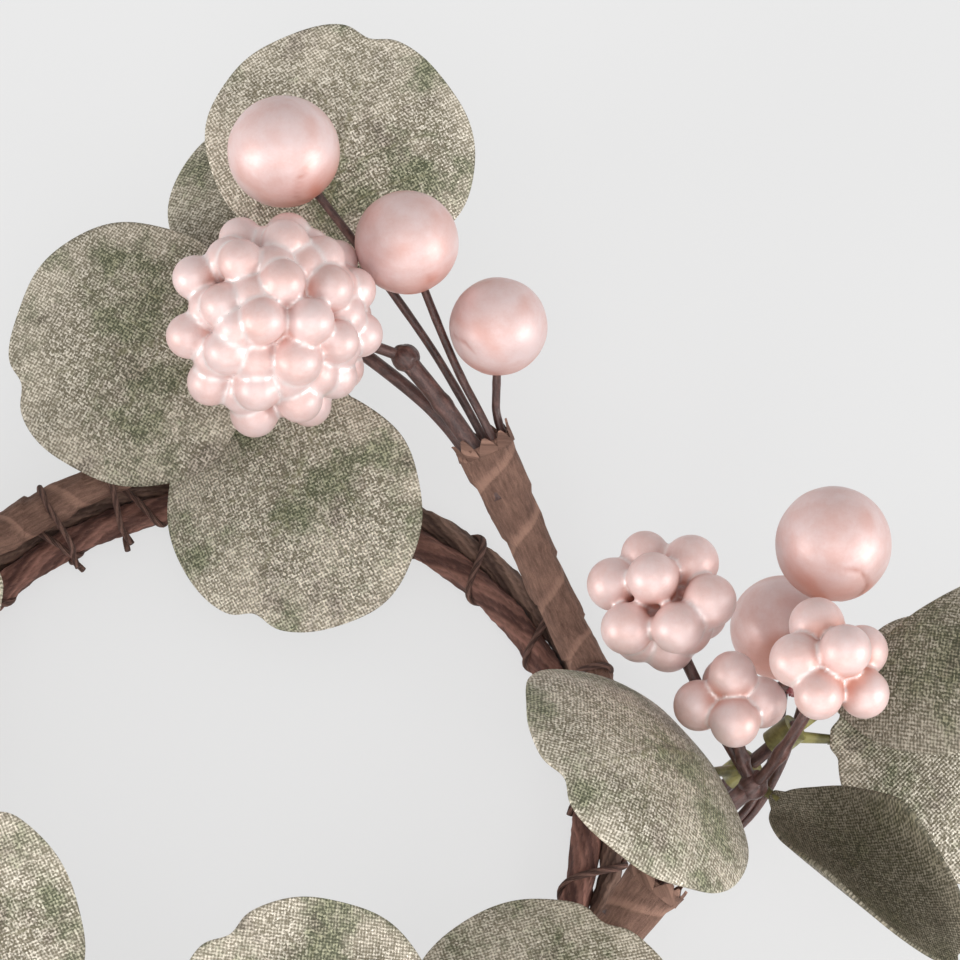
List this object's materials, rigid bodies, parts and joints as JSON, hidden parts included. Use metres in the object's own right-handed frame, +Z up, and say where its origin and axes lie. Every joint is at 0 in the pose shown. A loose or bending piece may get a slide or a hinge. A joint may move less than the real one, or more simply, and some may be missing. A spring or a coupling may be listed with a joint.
{
  "type": "candle ring",
  "caption": "Paper-wrapped wire ring that lies round a pillar candle, with sprays of woven leaves, pearl berries and berry bunches on taped stems that bend.",
  "frame": {"origin": "centre of the candle opening, on the table that the ring lies on", "axes": "+Z up out of the opening; +X to the right and +Y to the back as pictured"},
  "size_m": [0.2261, 0.2095, 0.0601],
  "materials": {
    "inner_paper": "matte",
    "outer_paper": "matte",
    "paper_wire": "matte",
    "stem_tape": "crinkled matte",
    "steel_wire": "drawn",
    "moulded_stem": "semi-gloss",
    "leaf_collar": "satin",
    "woven_leaf": "glittered weave",
    "pearl_berry": "pearl",
    "small_pearl_berry": "pearl"
  },
  "bodies": {
    "ring": {"ring_inner_strand": "inner_paper", "ring_outer_strand": "outer_paper", "ring_core_wires": "steel_wire", "binding_wire": "paper_wire", "stem_tails": "stem_tape", "stem_ties": "paper_wire", "spray_1_stem_wire": "steel_wire", "spray_2_stem_wire": "steel_wire", "spray_3_stem_wire": "steel_wire", "spray_4_stem_wire": "steel_wire", "spray_5_stem_wire": "steel_wire"},
    "spray_1": {"spray_1_tape_sleeve": "stem_tape", "spray_1_leaf_twig": "moulded_stem", "spray_1_berry_stems": "moulded_stem", "spray_1_pearl_berries": "pearl_berry", "spray_1_berry_bunch": "small_pearl_berry"},
    "spray_1_lower_leaf_pair": {"spray_1_lower_collar": "leaf_collar", "spray_1_lower_leaves": "woven_leaf"},
    "spray_1_upper_leaf_pair": {"spray_1_upper_collar": "leaf_collar", "spray_1_upper_leaves": "woven_leaf"},
    "spray_2": {"spray_2_tape_sleeve": "stem_tape", "spray_2_leaf_twig": "moulded_stem", "spray_2_berry_stems": "moulded_stem", "spray_2_pearl_berries": "pearl_berry", "spray_2_berry_bunch": "small_pearl_berry"},
    "spray_2_lower_leaf_pair": {"spray_2_lower_collar": "leaf_collar", "spray_2_lower_leaves": "woven_leaf"},
    "spray_2_upper_leaf_pair": {"spray_2_upper_collar": "leaf_collar", "spray_2_upper_leaves": "woven_leaf"},
    "spray_3": {"spray_3_tape_sleeve": "stem_tape", "spray_3_leaf_twig": "moulded_stem", "spray_3_berry_stems": "moulded_stem", "spray_3_pearl_berries": "pearl_berry", "spray_3_berry_bunch": "small_pearl_berry"},
    "spray_3_lower_leaf_pair": {"spray_3_lower_collar": "leaf_collar", "spray_3_lower_leaves": "woven_leaf"},
    "spray_3_upper_leaf_pair": {"spray_3_upper_collar": "leaf_collar", "spray_3_upper_leaves": "woven_leaf"},
    "spray_4": {"spray_4_tape_sleeve": "stem_tape", "spray_4_leaf_twig": "moulded_stem", "spray_4_berry_stems": "moulded_stem", "spray_4_pearl_berries": "pearl_berry", "spray_4_berry_bunch": "small_pearl_berry"},
    "spray_4_lower_leaf_pair": {"spray_4_lower_collar": "leaf_collar", "spray_4_lower_leaves": "woven_leaf"},
    "spray_4_upper_leaf_pair": {"spray_4_upper_collar": "leaf_collar", "spray_4_upper_leaves": "woven_leaf"},
    "spray_5": {"spray_5_tape_sleeve": "stem_tape", "spray_5_leaf_twig": "moulded_stem", "spray_5_berry_stems": "moulded_stem", "spray_5_pearl_berries": "pearl_berry", "spray_5_berry_bunch": "small_pearl_berry"},
    "spray_5_lower_leaf_pair": {"spray_5_lower_collar": "leaf_collar", "spray_5_lower_leaves": "woven_leaf"},
    "spray_5_upper_leaf_pair": {"spray_5_upper_collar": "leaf_collar", "spray_5_upper_leaves": "woven_leaf"}
  },
  "joints": [
    {"name": "spray_1_bend", "type": "hinge", "parent": "ring", "child": "spray_1", "pos_m": [0.04663, 0.02532, 0.00667], "axis": [0.8788, 0.4772, 0], "range_deg": [-6, 12], "deforming": ["spray_1_stem_wire"]},
    {"name": "spray_1_lower_leaf_turn", "type": "hinge", "parent": "spray_1", "child": "spray_1_lower_leaf_pair", "pos_m": [0.01523, 0.06218, 0.02507], "axis": [-0.8236, 0.5047, 0.2588], "range_deg": [-3, 6]},
    {"name": "spray_1_upper_leaf_turn", "type": "hinge", "parent": "spray_1", "child": "spray_1_upper_leaf_pair", "pos_m": [0.00864, 0.06622, 0.02714], "axis": [-0.8236, 0.5047, 0.2588], "range_deg": [-1, 6]},
    {"name": "spray_2_bend", "type": "hinge", "parent": "ring", "child": "spray_2", "pos_m": [-0.03339, 0.04124, 0.00667], "axis": [-0.6293, 0.7771, 0], "range_deg": [-6, 4], "deforming": ["spray_2_stem_wire"]},
    {"name": "spray_2_lower_leaf_turn", "type": "hinge", "parent": "spray_2", "child": "spray_2_lower_leaf_pair", "pos_m": [-0.06468, 0.01396, 0.02637], "axis": [-0.6239, -0.7178, 0.309], "range_deg": [-1.5, 6]},
    {"name": "spray_2_upper_leaf_turn", "type": "hinge", "parent": "spray_2", "child": "spray_2_upper_leaf_pair", "pos_m": [-0.06968, 0.00822, 0.02884], "axis": [-0.6239, -0.7178, 0.309], "range_deg": [-6, 1]},
    {"name": "spray_3_bend", "type": "hinge", "parent": "ring", "child": "spray_3", "pos_m": [-0.05225, -0.00921, 0.00667], "axis": [-0.9848, -0.1736, 0], "range_deg": [-6, 4], "deforming": ["spray_3_stem_wire"]},
    {"name": "spray_3_lower_leaf_turn", "type": "hinge", "parent": "spray_3", "child": "spray_3_lower_leaf_pair", "pos_m": [-0.04357, -0.0498, 0.02637], "axis": [0.3253, -0.8937, 0.309], "range_deg": [-1.5, 4]},
    {"name": "spray_3_upper_leaf_turn", "type": "hinge", "parent": "spray_3", "child": "spray_3_upper_leaf_pair", "pos_m": [-0.04097, -0.05695, 0.02884], "axis": [0.3253, -0.8937, 0.309], "range_deg": [-6, 1.5]},
    {"name": "spray_4_bend", "type": "hinge", "parent": "ring", "child": "spray_4", "pos_m": [-0.0164, -0.05046, 0.00667], "axis": [-0.309, -0.9511, 0], "range_deg": [-6, 10], "deforming": ["spray_4_stem_wire"]},
    {"name": "spray_4_lower_leaf_turn", "type": "hinge", "parent": "spray_4", "child": "spray_4_lower_leaf_pair", "pos_m": [0.02352, -0.06186, 0.02637], "axis": [0.9418, -0.1324, 0.309], "range_deg": [-1.5, 6]},
    {"name": "spray_4_upper_leaf_turn", "type": "hinge", "parent": "spray_4", "child": "spray_4_upper_leaf_pair", "pos_m": [0.03105, -0.06291, 0.02884], "axis": [0.9418, -0.1324, 0.309], "range_deg": [-6, 1.5]},
    {"name": "spray_5_bend", "type": "hinge", "parent": "ring", "child": "spray_5", "pos_m": [0.03881, -0.03619, 0.00667], "axis": [0.7314, -0.682, 0], "range_deg": [-2, 12], "deforming": ["spray_5_stem_wire"]},
    {"name": "spray_5_lower_leaf_turn", "type": "hinge", "parent": "spray_5", "child": "spray_5_lower_leaf_pair", "pos_m": [0.06892, -0.00272, 0.02471], "axis": [0.7021, 0.3577, 0.6157], "range_deg": [-2, 4]},
    {"name": "spray_5_upper_leaf_turn", "type": "hinge", "parent": "spray_5", "child": "spray_5_upper_leaf_pair", "pos_m": [0.07454, 0.00014, 0.02963], "axis": [0.7021, 0.3577, 0.6157], "range_deg": [-6, 1.5]}
  ]
}
